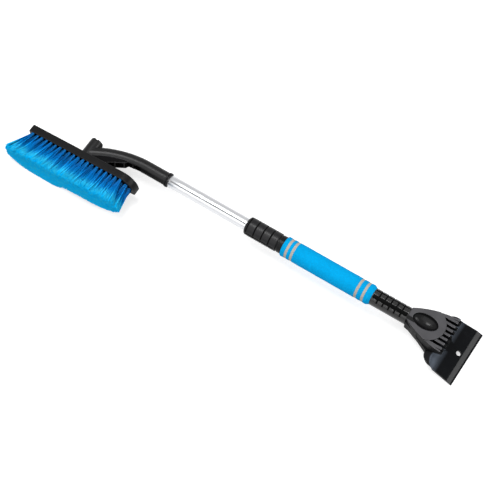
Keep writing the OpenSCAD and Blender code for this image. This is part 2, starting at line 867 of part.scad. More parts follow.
module scraper_blade() {
    bevel_x = blade_len - bevel_len;
    color("black") blade_frame() difference() {
        intersection() {
            translate([0, 0, -blade_t]) linear_extrude(blade_t) blade_plan();
            rotate([90, 0, 0]) linear_extrude(1.2*blade_w, center = true)
                polygon([[-lap, -blade_t], [blade_len, -blade_t], [blade_len, edge_t - blade_t],
                    [blade_len - steep_len, edge_t - blade_t + steep_drop], [bevel_x, 0], [-lap, 0]]);
        }
        translate([blade_len - hang_back, 0, -blade_t - 1]) cylinder(h = blade_t + 2, d = hang_d);
        blade_screw_places() {
            translate([0, 0, -1]) cylinder(h = blade_t + 2, r = blade_screw_r);
            translate([0, 0, -1]) cylinder(h = blade_screw_head_t + 1, r = blade_screw_head_r);
        }
    }
}

module blade_screws() {
    color("silver") blade_frame() blade_screw_places() difference() {
        union() {
            cylinder(h = blade_screw_head_t, r = blade_screw_head_r);
            cylinder(h = blade_screw_len, r = blade_screw_r);
        }
        cross_recess(-1, 2.2);
    }
}

// The origin lies under the middle of the part, on its lowest point
translate([-(x_min + x_max)/2, -(y_min + y_max)/2, -z_min]) {
    brush_block();
    bristle_row_1();
    bristle_row_2();
    bristle_row_3();
    bristle_row_4();
    pivot_screw();
    pivot_washer();
    pivot_spring();
    pivot_cap();
    neck();
    neck_rivet();
    inner_tube();
    tail_bush();
    lock_nut();
    lock_collet();
    lock_base();
    outer_tube();
    foam_grip();
    grip_band_1();
    grip_band_2();
    grip_band_3();
    grip_band_4();
    rear_handle();
    handle_screw();
    scraper_head();
    scraper_blade();
    blade_screws();
}
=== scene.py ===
"""Telescoping snow brush with an ice scraper at its grip end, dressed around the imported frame."""
import json

import bmesh
import bpy
import numpy as np
from mathutils import Matrix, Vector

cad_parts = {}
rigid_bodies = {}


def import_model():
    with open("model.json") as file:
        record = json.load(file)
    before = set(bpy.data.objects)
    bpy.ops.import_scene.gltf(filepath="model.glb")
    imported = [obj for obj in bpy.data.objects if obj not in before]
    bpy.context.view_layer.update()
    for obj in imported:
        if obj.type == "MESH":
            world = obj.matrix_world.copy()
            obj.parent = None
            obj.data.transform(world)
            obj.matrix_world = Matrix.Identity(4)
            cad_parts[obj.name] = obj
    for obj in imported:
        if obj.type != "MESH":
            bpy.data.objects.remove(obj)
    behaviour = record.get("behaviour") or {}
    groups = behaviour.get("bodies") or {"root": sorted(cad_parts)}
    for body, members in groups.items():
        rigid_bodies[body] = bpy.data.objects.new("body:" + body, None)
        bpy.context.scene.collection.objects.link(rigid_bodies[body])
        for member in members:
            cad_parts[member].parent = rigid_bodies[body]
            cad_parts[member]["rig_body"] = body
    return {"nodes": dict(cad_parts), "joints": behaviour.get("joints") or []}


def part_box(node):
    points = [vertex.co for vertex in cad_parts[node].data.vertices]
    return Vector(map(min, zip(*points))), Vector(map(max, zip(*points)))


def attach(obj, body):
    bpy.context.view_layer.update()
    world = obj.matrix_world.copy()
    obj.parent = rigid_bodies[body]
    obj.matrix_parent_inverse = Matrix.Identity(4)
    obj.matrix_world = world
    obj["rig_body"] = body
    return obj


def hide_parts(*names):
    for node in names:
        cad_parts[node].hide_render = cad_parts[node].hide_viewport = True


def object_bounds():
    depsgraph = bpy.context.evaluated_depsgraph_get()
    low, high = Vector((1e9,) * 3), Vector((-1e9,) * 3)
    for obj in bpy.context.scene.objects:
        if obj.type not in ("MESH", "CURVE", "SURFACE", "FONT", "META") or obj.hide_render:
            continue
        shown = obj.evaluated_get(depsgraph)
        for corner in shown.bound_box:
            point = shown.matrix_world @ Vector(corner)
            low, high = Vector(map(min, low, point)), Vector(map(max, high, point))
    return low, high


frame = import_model()
cad_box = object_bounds()

# Studio: a plain white sweep under three soft lamps, and a long lens high over the grip's side.
# The camera's bearing, height, distance and lens are those of the product picture.
MM = 0.001
LENS_MM, SENSOR_MM = 124.98, 36
CAMERA_DISTANCE, CAMERA_REACH = 2.68972, 20
CAMERA_TURN, CAMERA_HEIGHT, CAMERA_ROLL = np.radians((32.856, 62.741, -0.097))
AIM_BEFORE_GRIP, AIM_BESIDE_POLE = 41.59, 35.05
FLOOR_HALF = 6.0
FLOOR_DROP = 0.2
FLOOR_COLOUR = (0.6, 0.6, 0.6, 1)
ROOM_LIGHT = 0.36
FLOOR_GLOW, FAR_GLOW = 0.62, 0.92
NEAR_FLOOR, FAR_FLOOR = 0.9, 2.4

scene = bpy.context.scene
scene.view_settings.view_transform = "Standard"
tube_low, tube_high = (np.array(corner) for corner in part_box("inner_tube"))
pole_y, pole_z = (tube_low[1:] + tube_high[1:]) / 2
grip_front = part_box("foam_grip")[0][0]


def link(name, data):
    """An object of that name in the scene."""
    piece = bpy.data.objects.new(name, data)
    scene.collection.objects.link(piece)
    return piece


def view_axes(turn, height, roll):
    """Right, up and back of a camera at a bearing and a height, rolled about its own axis."""
    back = np.array((np.sin(turn) * np.cos(height), -np.cos(turn) * np.cos(height), np.sin(height)))
    right = np.array((np.cos(turn), np.sin(turn), 0))
    up = np.cross(back, right)
    return np.cos(roll) * right + np.sin(roll) * up, np.cos(roll) * up - np.sin(roll) * right, back


def place(piece, axes, at):
    """Turns an object to three axes and puts it at a point."""
    matrix = np.identity(4)
    matrix[:3, :3] = np.stack(axes, axis=1)
    matrix[:3, 3] = at
    piece.matrix_world = Matrix(matrix.tolist())


lens = bpy.data.cameras.new("camera")
lens.lens, lens.sensor_width = LENS_MM, SENSOR_MM
lens.clip_end = CAMERA_REACH
camera = link("camera", lens)
camera_axes = view_axes(CAMERA_TURN, CAMERA_HEIGHT, CAMERA_ROLL)
aim = np.array((grip_front - AIM_BEFORE_GRIP * MM, pole_y - AIM_BESIDE_POLE * MM, pole_z))
place(camera, camera_axes, aim + camera_axes[2] * CAMERA_DISTANCE)
scene.camera = camera


def soft_lamp(name, turn, height, distance, size, power):
    """A square area lamp that looks at the middle of the part from a bearing and a height."""
    data = bpy.data.lights.new(name, "AREA")
    data.size, data.energy = size, power
    axes = view_axes(np.radians(turn), np.radians(height), 0)
    place(link(name, data), axes, np.array((0, 0, pole_z)) + axes[2] * distance)


soft_lamp("key_lamp", turn=-100, height=78, distance=2.4, size=0.85, power=30)
soft_lamp("front_lamp", turn=-10, height=48, distance=2.8, size=3.6, power=48)
soft_lamp("edge_lamp", turn=117, height=33, distance=2.0, size=0.62, power=11)


def feed(tree, socket, value):
    """Links a socket to another one, or sets its value."""
    if isinstance(value, bpy.types.NodeSocket):
        tree.links.new(value, socket)
    else:
        socket.default_value = value


def node(tree, kind, sockets=None, **settings):
    """A shader node with its settings, and with values or links for its named or numbered sockets."""
    made = tree.nodes.new("ShaderNode" + kind)
    for key, value in settings.items():
        setattr(made, key, value)
    for key, value in (sockets or {}).items():
        feed(tree, made.inputs[key], value)
    return made


def product(tree, first, second):
    """Two values multiplied."""
    return node(tree, "Math", {0: first, 1: second}, operation="MULTIPLY").outputs[0]


def larger(tree, first, second):
    """The larger of two values."""
    return node(tree, "Math", {0: first, 1: second}, operation="MAXIMUM").outputs[0]


def spread(tree, value, low, high, to_low, to_high):
    """A value carried from one range to another, held at the ends."""
    sockets = {"Value": value, "From Min": low, "From Max": high, "To Min": to_low, "To Max": to_high}
    return node(tree, "MapRange", sockets).outputs[0]


def seen_directly(tree):
    """1 for rays from the camera or off a glossy or clear surface, so that these meet the white room."""
    rays = node(tree, "LightPath").outputs
    camera_or_gloss = larger(tree, rays["Is Camera Ray"], rays["Is Glossy Ray"])
    return larger(tree, camera_or_gloss, rays["Is Transmission Ray"])


def object_place(tree):
    """The place on the piece, in the part's own coordinates."""
    return node(tree, "TexCoord").outputs["Object"]


def new_material(name):
    """A material with an empty node tree."""
    material = bpy.data.materials.new(name)
    material.use_nodes = True
    material.node_tree.nodes.clear()
    return material, material.node_tree


world = bpy.data.worlds.new("white_room")
scene.world = world
world.use_nodes = True
room = world.node_tree
room.nodes.clear()
room_glow = node(room, "Background", {"Strength": spread(room, seen_directly(room), 0, 1, ROOM_LIGHT, 1)})
node(room, "OutputWorld", {"Surface": room_glow.outputs[0]})

floor_mesh = bpy.data.meshes.new("floor")
corners = np.array([(-1, -1, 0), (1, -1, 0), (1, 1, 0), (-1, 1, 0)]) * FLOOR_HALF
corners[:, 2] = cad_box[0][2] - FLOOR_DROP * MM
floor_mesh.from_pydata(corners.tolist(), [], [(0, 1, 2, 3)])
floor = link("floor", floor_mesh)
sweep_paint, sweep = new_material("white_sweep")
away = node(sweep, "VectorMath", {0: object_place(sweep)}, operation="LENGTH").outputs["Value"]
far_glow = spread(sweep, away, NEAR_FLOOR, FAR_FLOOR, FLOOR_GLOW, FAR_GLOW)
lit = node(sweep, "BsdfDiffuse", {"Color": FLOOR_COLOUR})
glow = node(sweep, "Emission", {"Strength": product(sweep, seen_directly(sweep), far_glow)})
both = node(sweep, "AddShader", {0: lit.outputs[0], 1: glow.outputs[0]})
node(sweep, "OutputMaterial", {"Surface": both.outputs[0]})
floor_mesh.materials.append(sweep_paint)

# Brush block: a black polypropylene bar, 203 mm long, moulded in one with its pivot post.
# Two opposite corners are large curves, and four rows of tufts are set into its front face.
WELD = 1e-6
FLAT = np.radians(0.5)
EDGE_STEPS, FACE_WEIGHT = 2, 80
BLOCK_EDGE = 0.9
GRAIN_STRENGTH = 0.35


def mark(mesh, name, domain, values):
    """Stores a number at each point or face corner of a mesh, for its material to read."""
    mesh.attributes.new(name, "FLOAT", domain).data.foreach_set("value", values.astype(np.float32))


def moulded(name, edge, sharp=32):
    """A moulded node's own shape with soft edges: its triangles are joined, flat areas become single
    faces, and each edge that turns by more than 'sharp' degrees is rounded by 'edge' millimetres.
    The corners of the rounded strips carry 1 in the attribute named edge, all others 0, and the
    attribute named level says how far each face looks upwards."""
    shape = bmesh.new()
    shape.from_mesh(frame["nodes"][name].data)
    bmesh.ops.remove_doubles(shape, verts=shape.verts, dist=WELD)
    bmesh.ops.dissolve_limit(shape, angle_limit=FLAT, verts=shape.verts, edges=shape.edges)
    keen = [line for line in shape.edges if line.is_manifold and line.calc_face_angle() > np.radians(sharp)]
    bmesh.ops.bevel(
        shape, geom=keen, offset=edge * MM, offset_type="OFFSET", segments=EDGE_STEPS, profile=0.5,
        affect="EDGES", clamp_overlap=False, loop_slide=True, material=1)
    bmesh.ops.dissolve_degenerate(shape, dist=WELD, edges=shape.edges)
    mesh = bpy.data.meshes.new(name + "_shell")
    shape.to_mesh(mesh)
    shape.free()
    count = len(mesh.polygons)
    rounded, corners = np.zeros(count, np.int32), np.zeros(count, np.int32)
    facing = np.zeros(3 * count, np.float32)
    mesh.polygons.foreach_get("material_index", rounded)
    mesh.polygons.foreach_get("loop_total", corners)
    mesh.polygons.foreach_get("normal", facing)
    mark(mesh, "edge", "CORNER", np.repeat(rounded == 1, corners))
    mark(mesh, "level", "CORNER", np.repeat(np.maximum(0, facing[2::3]), corners))
    mesh.polygons.foreach_set("material_index", np.zeros(count, np.int32))
    mesh.polygons.foreach_set("use_smooth", np.ones(count, bool))
    piece = link(name + "_shell", mesh)
    piece.modifiers.new("flat_faces", "WEIGHTED_NORMAL").weight = FACE_WEIGHT
    return piece


def body_of(name):
    """The body that a CAD node rides on."""
    return frame["nodes"][name]["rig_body"]


def fit(piece, material, *names):
    """Dresses a piece, and puts it in the place of CAD nodes that share a body and a slot."""
    piece.data.materials.append(material)
    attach(piece, body_of(names[0]))
    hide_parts(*names)


def shader_group(name, inputs, outputs):
    """An empty node group with named value sockets, and its two end nodes."""
    group = bpy.data.node_groups.new(name, "ShaderNodeTree")
    for label, start in inputs.items():
        group.interface.new_socket(label, in_out="INPUT", socket_type="NodeSocketFloat").default_value = start
    for label in outputs:
        group.interface.new_socket(label, in_out="OUTPUT", socket_type="NodeSocketFloat")
    return group, group.nodes.new("NodeGroupInput").outputs, group.nodes.new("NodeGroupOutput").inputs


def noise(tree, where, scale, detail=2.0, roughness=0.5):
    """Noise between 0 and 1 at a place."""
    sockets = {"Vector": where, "Scale": scale, "Detail": detail, "Roughness": roughness}
    return node(tree, "TexNoise", sockets).outputs["Fac"]


def total(tree, first, second):
    """Two values added."""
    return node(tree, "Math", {0: first, 1: second}, operation="ADD").outputs[0]


def attribute(tree, name):
    """A number that the mesh carries."""
    return node(tree, "Attribute", attribute_name=name).outputs["Fac"]


def colour_mix(tree, share, first, second, blend="MIX"):
    """A colour between two, by a share of 0 to 1."""
    return node(tree, "Mix", {0: share, 6: first, 7: second}, data_type="RGBA", blend_type=blend).outputs[2]


def toned(tree, colour, tone):
    """A colour made darker or lighter by a value."""
    grey = node(tree, "CombineColor", {key: tone for key in ("Red", "Green", "Blue")}).outputs[0]
    return colour_mix(tree, 1.0, colour, grey, "MULTIPLY")


def bump(tree, height, strength, depth):
    """A normal that follows a height, at a depth in millimetres."""
    return node(tree, "Bump", {"Height": height, "Strength": strength, "Distance": depth * MM}).outputs[0]


def principled(tree, sockets):
    """A Principled shader on the material's output."""
    shader = node(tree, "BsdfPrincipled", sockets)
    node(tree, "OutputMaterial", {"Surface": shader.outputs[0]})
    return shader


# Moulded skin, shared by all plastics: spark-eroded grain, faint cloudy tone and handling marks
skin, skin_in, skin_out = shader_group(
    "moulded_skin", {"Grain": 1400.0, "Clouds": 35.0}, ("Height", "Tone", "Marks"))
skin_place = object_place(skin)
skin_clouds = noise(skin, skin_place, skin_in["Clouds"], detail=4.0)
skin_marks = noise(skin, skin_place, 160.0, detail=5.0, roughness=0.65)
feed(skin, skin_out["Height"], noise(skin, skin_place, skin_in["Grain"], detail=3.0, roughness=0.6))
feed(skin, skin_out["Tone"], spread(skin, skin_clouds, 0.3, 0.7, 0.86, 1.14))
feed(skin, skin_out["Marks"], spread(skin, skin_marks, 0.35, 0.75, -0.07, 0.1))

# Pale rounded edges, shared by all rounded pieces: the rounded strips, broken up by noise. On most pieces
# they are scuffing; on the scraper head they are also a painted highlight along the teeth and the plate.
edge_paling, edge_paling_in, edge_paling_out = shader_group("pale_edge_strips", {"Amount": 0.5}, ("Mask",))
edge_paling_noise = noise(edge_paling, object_place(edge_paling), 260.0, detail=4.0, roughness=0.6)
edge_paling_strip = product(edge_paling, attribute(edge_paling, "edge"), spread(edge_paling, edge_paling_noise, 0.36, 0.62, 0.25, 1.0))
feed(edge_paling, edge_paling_out["Mask"], product(edge_paling, edge_paling_strip, edge_paling_in["Amount"]))


def plastic(name, colour, edge_colour, roughness, gloss, grain=0.03, amount=0.5):
    """Moulded plastic: a cloudy base colour that pales by an amount along the rounded edges, with a gloss
    and with grain as bump, in millimetres. The paling is scuffing on most pieces and a painted highlight
    on the scraper head. Returns the material, its tree, its shader and the sockets of its colour and
    roughness."""
    material, tree = new_material(name)
    surface = node(tree, "Group", node_tree=skin).outputs
    pale_edge = node(tree, "Group", {"Amount": amount}, node_tree=edge_paling).outputs["Mask"]
    paint = colour_mix(tree, pale_edge, toned(tree, (*colour, 1), surface["Tone"]), (*edge_colour, 1))
    rough = total(tree, surface["Marks"], roughness)
    shader = principled(tree, {
        "Base Color": paint, "Roughness": rough, "Specular IOR Level": gloss,
        "Normal": bump(tree, surface["Height"], GRAIN_STRENGTH, grain)})
    return material, tree, shader, paint, rough


black_plastic = plastic(
    "black_plastic", colour=(0.006, 0.006, 0.0065), edge_colour=(0.04, 0.04, 0.043), roughness=0.36, gloss=0.13)[0]
fit(moulded("brush_block", BLOCK_EDGE), black_plastic, "brush_block")

# Bristles: thousands of blue PVC filaments in tufts, stapled into the block in four rows.
# They leave the block in tight bundles, soon fan out into one field and end in soft flagged tips.
BLOCK_FRONT, ROOT_DEPTH = 48.5, 1
BRISTLE_LEN = 42.5
TUFT_PITCH, ROW_PITCH = 8.95, 7.6
ROW_START, MIDDLE_ROW = -92.0, 2.5
TUFTS = {1: 20, 2: 21, 3: 21, 4: 20}
TUFT_RADII = {1: 1.9, 2: 2.9, 3: 2.9, 4: 2.9}
ROOT_RISE = {1: 1.6, 2: 0.8, 3: 0.0, 4: 0.0}
TUFT_FAN = 0.78
STRANDS, LOCK_GRID = 320, 5
LOCK_NUDGE, STRAND_NUDGE = 0.13, 0.18
LOCK_STEP, LOCK_TILT, LOCK_SHARE = 2.6, 0.3, 0.75
TIP_LOW, TIP_HIGH, TIP_STRAY = -29.5, 14.5, 0.5
LEFT_END = ((-1.0, -0.82, -0.5, 0.1, 0.4, 1.0), (-103, -114, -121, -120, -119, -114))
RIGHT_END = ((-1.0, -0.74, -0.25, 0.3, 1.0), (70, 84, 96, 94, 84))
BULGE, BULGE_AT, BULGE_SLOW, BULGE_QUICK = 9.5, -36, 34, 17
END_RISE, END_RISE_FROM, END_RISE_OVER = 6.0, -66, 50
TIP_DOME, END_DOME, UPPER_REACH, LOWER_REACH = 0.05, 0.05, 0.09, 0.03
UNEVEN, UPPER_UNEVEN = 0.9, 0.8
BEND, END_BEND = 0.34, 0.1
STATIONS = np.array((0.0, 0.2, 0.45, 0.74, 1.0))
STRAND_RADII = np.array((0.16, 0.16, 0.17, 0.24, 0.33))
SIDES = 3
OWN_SHADE, SIDE_SHADE = 0.35, 0.3
ROOT_FACING, TIP_FACING = 0.15, 0.85
UP_FACING, ROW_FACING = 0.7, 0.55
GROUND_GAP = 0.75
SEED = 40
HEAD_TURN = np.radians(4)
hub = np.array(next(joint["pos_m"] for joint in frame["joints"] if joint["name"] == "brush_pivot"))
hub[1:] = pole_y, pole_z
head_axes = np.array((
    (np.cos(HEAD_TURN), 0, np.sin(HEAD_TURN)),
    (0, 1, 0),
    (-np.sin(HEAD_TURN), 0, np.cos(HEAD_TURN))))


def mesh_of(name, points, *face_sets):
    """A closed mesh from points and sets of faces with equal corner counts. Where the shape's volume
    comes out negative its faces are turned round, so that they point outwards."""
    volume = 0.0
    for faces in face_sets:
        for k in range(1, faces.shape[1] - 1):
            a, b, c = (points[faces[:, corner]] for corner in (0, k, k + 1))
            volume += np.einsum("ij,ij->", a - points[0], np.cross(b - points[0], c - points[0]))
    if volume < 0:
        face_sets = [faces[:, ::-1] for faces in face_sets]
    loops = np.concatenate([faces.ravel() for faces in face_sets]).astype(np.int32)
    counts = np.concatenate([np.full(len(faces), faces.shape[1]) for faces in face_sets])
    mesh = bpy.data.meshes.new(name)
    mesh.vertices.add(len(points))
    mesh.vertices.foreach_set("co", points.astype(np.float32).ravel())
    mesh.loops.add(len(loops))
    mesh.loops.foreach_set("vertex_index", loops)
    mesh.polygons.add(len(counts))
    mesh.polygons.foreach_set("loop_start", (np.cumsum(counts) - counts).astype(np.int32))
    mesh.polygons.foreach_set("use_smooth", np.ones(len(counts), bool))
    mesh.update(calc_edges=True)
    return mesh


def tip_field(s, w):
    """Where a filament ends, from its place along and across the rows, each from -1 to 1. The cut tips
    fill a field that is longer and wider than the block, sags to one side and is rounded at its ends,
    and whose lower edge bulges where the bristles lie on the ground."""
    left = np.interp(w, *LEFT_END)
    right = np.interp(w, *RIGHT_END)
    x = left + (right - left) * (s + 1) / 2
    bulge = BULGE * np.exp(-((x - BULGE_AT) / np.where(x < BULGE_AT, BULGE_SLOW, BULGE_QUICK)) ** 2)
    lower = TIP_LOW - bulge + END_RISE * np.clip((END_RISE_FROM - x) / END_RISE_OVER, 0, 1) ** 2
    return x, lower + (TIP_HIGH - lower) * (w + 1) / 2


def tip_depth(s, w, tip_x):
    """Where a filament's tip lies along Y, from the pivot's axis. The upper tips reach further than the
    middle ones and are gently domed, the lower ones reach further up to the bulge and less far past it,
    and the field is rounded off at both ends of the rows."""
    rise = np.clip(w, 0, 1)
    shorter = TIP_DOME * rise ** 2 - UPPER_REACH * rise + END_DOME * np.minimum(1, np.abs(s)) ** 8
    far_end = np.exp(-(np.maximum(0, tip_x - BULGE_AT) / BULGE_QUICK) ** 2)
    shorter -= LOWER_REACH * np.clip(-w, 0, 1) * (2 * far_end - 1)
    return -BLOCK_FRONT - BRISTLE_LEN * (1 - shorter)


def strand_faces(count):
    """Faces of a number of tubes, each a stack of rings, one per station: walls, then both ends."""
    size = len(STATIONS) * SIDES
    start = (np.arange(count) * size)[:, None, None]
    ring = start + (np.arange(len(STATIONS) - 1) * SIDES)[None, :, None]
    side, after = np.arange(SIDES), (np.arange(SIDES) + 1) % SIDES
    walls = np.stack((ring + side, ring + after, ring + SIDES + after, ring + SIDES + side), -1)
    return walls.reshape(-1, 4), start[:, 0] + side[::-1], start[:, 0] + size - SIDES + side


def tuft_row(row):
    """One row of filaments, in locks that share a grid over each tuft. Each filament starts in its tuft's
    round hole and follows a quadratic curve: straight out first, then outwards to its own place in the
    tip field. It is a three-sided tapering tube with closed ends. Its shading leans towards that of the
    whole mass of bristles, and its UV map holds its own chance and the share of its length."""
    draw = np.random.default_rng(SEED + row)
    count, locks = TUFTS[row], LOCK_GRID ** 2
    strands, row_len = count * STRANDS, (count - 1) * TUFT_PITCH
    first = ROW_START if row <= 2 else -ROW_START - row_len
    tuft_x = np.repeat(first + np.arange(count) * TUFT_PITCH, STRANDS)
    tuft_z = np.full(strands, (MIDDLE_ROW - row) * ROW_PITCH)
    seat = draw.integers(0, locks, strands)
    lock = np.repeat(np.arange(count) * locks, STRANDS) + seat
    grid = np.stack((seat % LOCK_GRID, seat // LOCK_GRID)) * 2 / LOCK_GRID + 1 / LOCK_GRID - 1
    nudge = draw.uniform(-LOCK_NUDGE, LOCK_NUDGE, (2, count * locks))[:, lock]
    cell = grid + nudge + draw.uniform(-STRAND_NUDGE, STRAND_NUDGE, (2, strands))
    held = cell / np.abs(cell).max()
    disc = held * np.sqrt(1 - held[::-1] ** 2 / 2)
    stray = draw.normal(0, 1, (3, strands))

    s = (tuft_x - first - row_len / 2 + cell[0] * TUFT_PITCH * TUFT_FAN) / (row_len / 2 + TUFT_PITCH / 2)
    w = (tuft_z + cell[1] * ROW_PITCH / 2) / (2 * ROW_PITCH)
    rise = np.clip(w, 0, 1)
    tip_x, tip_z = tip_field(s, w)
    tip_x, tip_z = tip_x + stray[0] * TIP_STRAY, tip_z + stray[1] * TIP_STRAY
    tip_y = tip_depth(s, w, tip_x) + np.abs(stray[2]) * (UNEVEN + UPPER_UNEVEN * rise ** 2)
    tip_y += draw.uniform(0, LOCK_STEP, count * locks)[lock] * rise ** 2
    root_x, root_z = np.stack((tuft_x, tuft_z + ROOT_RISE[row])) + disc * TUFT_RADII[row]
    root = np.stack((root_x, np.full(strands, ROOT_DEPTH - BLOCK_FRONT), root_z), 1)
    tip = np.stack((tip_x, tip_y, tip_z), 1)
    bend = BEND + END_BEND * np.abs(s) ** 6
    knee = root + (tip - root) * np.stack((bend, np.full(strands, 0.5), bend), 1)
    t = STATIONS[None, :, None]
    path = (1 - t) ** 2 * root[:, None] + 2 * t * (1 - t) * knee[:, None] + t ** 2 * tip[:, None]

    turn = np.arange(SIDES) * 2 * np.pi / SIDES
    around = np.stack((np.cos(turn), np.zeros(SIDES), np.sin(turn)), 1)
    centres = (path.reshape(-1, 1, 3) * MM) @ head_axes + hub
    centres[..., 2] = np.maximum(centres[..., 2], cad_box[0][2] + GROUND_GAP * MM)
    radii = np.tile(STRAND_RADII, strands)[:, None, None]
    points = (centres + (radii * around * MM) @ head_axes).reshape(-1, 3)
    mesh = mesh_of(f"bristles_{row}", points, *strand_faces(strands))

    mass = np.stack(np.broadcast_arrays(
        SIDE_SHADE * s[:, None] ** 3,
        -ROOT_FACING - TIP_FACING * STATIONS ** 3,
        ROW_FACING * w[:, None] + UP_FACING), -1)
    mass = mass / np.linalg.norm(mass, axis=-1, keepdims=True)
    mass = mass + (draw.normal(0, LOCK_TILT, (count * locks, 3))[lock] * rise[:, None])[:, None]
    lean = (mass[:, :, None] + OWN_SHADE * around[None, None]).reshape(-1, 3) @ head_axes
    mesh.normals_split_custom_set_from_vertices(lean / np.linalg.norm(lean, axis=1, keepdims=True))

    strand_chance, lock_chance = draw.uniform(0, 1, strands), draw.uniform(0, 1, count * locks)
    chance = (1 - LOCK_SHARE) * strand_chance + LOCK_SHARE * lock_chance[lock]
    loops = np.zeros(len(mesh.loops), np.int32)
    mesh.loops.foreach_get("vertex_index", loops)
    strand, spot = np.divmod(loops, len(STATIONS) * SIDES)
    uv = np.stack((chance[strand], STATIONS[spot // SIDES]), 1)
    mesh.uv_layers.new(name="strand").data.foreach_set("uv", uv.astype(np.float32).ravel())
    return link(f"bristles_{row}", mesh)


bristle_paint, tree = new_material("blue_filament")
strand_uv = node(tree, "SeparateXYZ", {0: node(tree, "UVMap", uv_map="strand").outputs[0]}).outputs
own_chance, length_share = strand_uv["X"], strand_uv["Y"]
paler_later = spread(tree, own_chance, 0, 1, -0.17, 0.13)
along_strand = node(tree, "ValToRGB", {"Fac": total(tree, length_share, paler_later)})
ramp = along_strand.color_ramp.elements
# Colour along a filament: its flagged tips are paler, and its darker roots are painted shade, where they lie
# in the shadow of the block and the bristles around them.
ramp[0].position, ramp[0].color = 0.06, (0.01, 0.2, 0.6, 1)
ramp[1].position, ramp[1].color = 1.0, (0.0, 0.5, 1.0, 1)
for stop, shade in ((0.35, (0.0, 0.2, 0.68, 1)), (0.6, (0.0, 0.3, 0.84, 1)), (0.84, (0.03, 0.62, 1.0, 1))):
    ramp.new(stop).color = shade
darkest = spread(tree, length_share, 0.5, 1.0, 0.4, 0.9)
own_tone = spread(tree, own_chance, 0.2, 0.8, darkest, 1.0)
principled(tree, {
    "Base Color": toned(tree, along_strand.outputs["Color"], own_tone),
    "Roughness": spread(tree, length_share, 0, 1, 0.35, 0.6), "Specular IOR Level": 0.04})
for row in TUFTS:
    fit(tuft_row(row), bristle_paint, f"bristle_row_{row}")

# Pivot: the block's post turns in the neck's barrel, held by a screw, a washer and a coned disc spring
# of zinc-plated steel. A push-in cap with a finger notch closes the barrel.
CAP_EDGE = 0.35


def darker(colour, share):
    """A colour multiplied by a share, for a socket."""
    return (*(share * value for value in colour), 1)


def steel_finish(name, colour, roughness):
    """Plated steel: bright metal with cloudy plating and a fine grain as bump."""
    material, tree = new_material(name)
    where = object_place(tree)
    cloud = noise(tree, where, 420.0, detail=4.0, roughness=0.6)
    principled(tree, {
        "Base Color": colour_mix(tree, cloud, darker(colour, 0.8), (*colour, 1)),
        "Roughness": spread(tree, cloud, 0.3, 0.7, roughness - 0.06, roughness + 0.1),
        "Metallic": 1.0, "Normal": bump(tree, noise(tree, where, 2600.0), 0.2, 0.02)})
    return material


def paint_nodes(material, *names):
    """Gives CAD nodes that stay as they are their finish."""
    for name in names:
        for place_for_paint in frame["nodes"][name].material_slots:
            place_for_paint.material = material


steel = steel_finish("zinc_steel", colour=(0.56, 0.56, 0.57), roughness=0.34)
paint_nodes(steel, "pivot_screw", "pivot_washer", "pivot_spring")
fit(moulded("pivot_cap", CAP_EDGE), black_plastic, "pivot_cap")

# Neck: a glass-filled black moulding that swings from the pole to the barrel, cored out from below to
# keep its wall even, with a collar round the tube's end. Hands polish its upper side, but not the grained
# web beside the barrel. One rivet goes through tube and spigot.
NECK_EDGE, NECK_SHARP = 0.7, 30
WEB_HEIGHT, ABOVE_WEB = 9.0, 9.6
DULL, POLISHED, WEB_SHARE = 0.02, 0.46, 0.05
NECK_ROUGHNESS = 0.36


def along_mask(tree, axis, start, end):
    """From 1 at a start to 0 at an end, in millimetres from the foam's front along X, or from the pole
    along Y or Z."""
    origin = {"X": grip_front, "Y": pole_y, "Z": pole_z}[axis]
    where = node(tree, "SeparateXYZ", {0: object_place(tree)}).outputs[axis]
    ends = (1.0, 0.0) if start < end else (0.0, 1.0)
    return spread(tree, where, origin + min(start, end) * MM, origin + max(start, end) * MM, *ends)


def clear_skin(tree, shader, weight, roughness):
    """A sheen whose weight changes over the surface."""
    feed(tree, shader.inputs["Coat Weight"], weight)
    shader.inputs["Coat Roughness"].default_value = roughness


neck_plastic, tree, shader, *_ = plastic(
    "neck_plastic", colour=(0.005, 0.005, 0.0055), edge_colour=(0.03, 0.03, 0.033), roughness=NECK_ROUGHNESS,
    gloss=0.02)
level = attribute(tree, "level")
web = product(tree, spread(tree, level, 0.9, 0.99, 0, 1), along_mask(tree, "Z", WEB_HEIGHT, ABOVE_WEB))
handled = product(tree, spread(tree, level, 0.1, 0.75, DULL, POLISHED), spread(tree, web, 0, 1, 1, WEB_SHARE))
clear_skin(tree, shader, handled, NECK_ROUGHNESS)
fit(moulded("neck", NECK_EDGE, NECK_SHARP), neck_plastic, "neck")
paint_nodes(steel_finish("dull_rivet", colour=(0.34, 0.34, 0.35), roughness=0.45), "neck_rivet")

# Inner tube: bright drawn aluminium, 20 mm across, with a groove rolled along it for the lock's key.
# A nylon bush on its tail runs in the outer tube.
TUBE_R, TUBE_BORE, TUBE_CHAMFER = 10.1, 8.7, 0.3
TUBE_COLUMNS, TUBE_LINES = 160, 9
GROOVE_HALF, GROOVE_DEPTH, GROOVE_SOFT = 1.2, 0.6, 0.35
GROOVE_ANGLE, GROOVE_FAN, GROOVE_COLUMNS = np.radians(25), 0.2, 41
DRAWN_SCALE = (12, 1500, 1500)


def around_pole(x, radius, angle):
    """Points at a place along the pole, a radius and an angle from straight up towards the bristles."""
    x, radius, angle = np.broadcast_arrays(x, radius, angle)
    aside, above = radius * MM * np.sin(angle), radius * MM * np.cos(angle)
    return np.stack((grip_front + x * MM, pole_y - aside, pole_z + above), -1)


def ring_faces(lines, columns):
    """Four-sided faces of a grid that is closed both ways: lines round a section, columns round the axis."""
    index = np.arange(lines * columns).reshape(lines, columns)
    after = np.roll(index, -1, 0)
    return np.stack((index, np.roll(index, -1, 1), np.roll(after, -1, 1), after), -1).reshape(-1, 4)


